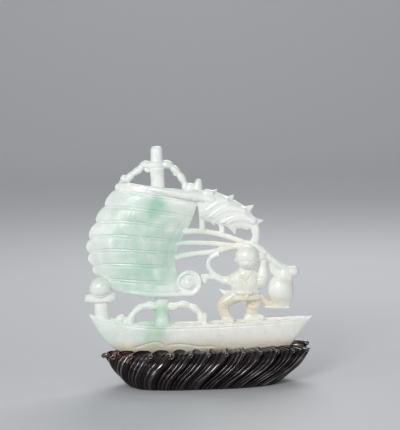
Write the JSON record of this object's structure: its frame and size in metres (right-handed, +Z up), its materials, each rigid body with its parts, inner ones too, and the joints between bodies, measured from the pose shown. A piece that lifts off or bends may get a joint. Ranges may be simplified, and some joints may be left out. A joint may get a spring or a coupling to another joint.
{
  "type": "carved jadeite boat",
  "caption": "Openwork jadeite sailing boat with a boatman, ribbed sail and leafy spray, resting in a dark hardwood stand carved as waves.",
  "frame": {"origin": "middle of the stand's flat underside, on the surface it stands on", "axes": "+Z up along the mast, +X towards the bow, -Y towards the side that the picture shows"},
  "size_m": [0.1213, 0.0432, 0.1283],
  "materials": {
    "jadeite": "glossy polish, faintly translucent",
    "hardwood": "dark gloss lacquer"
  },
  "bodies": {
    "root": {"jade_boat": "jadeite", "wood_stand": "hardwood"}
  },
  "joints": []
}
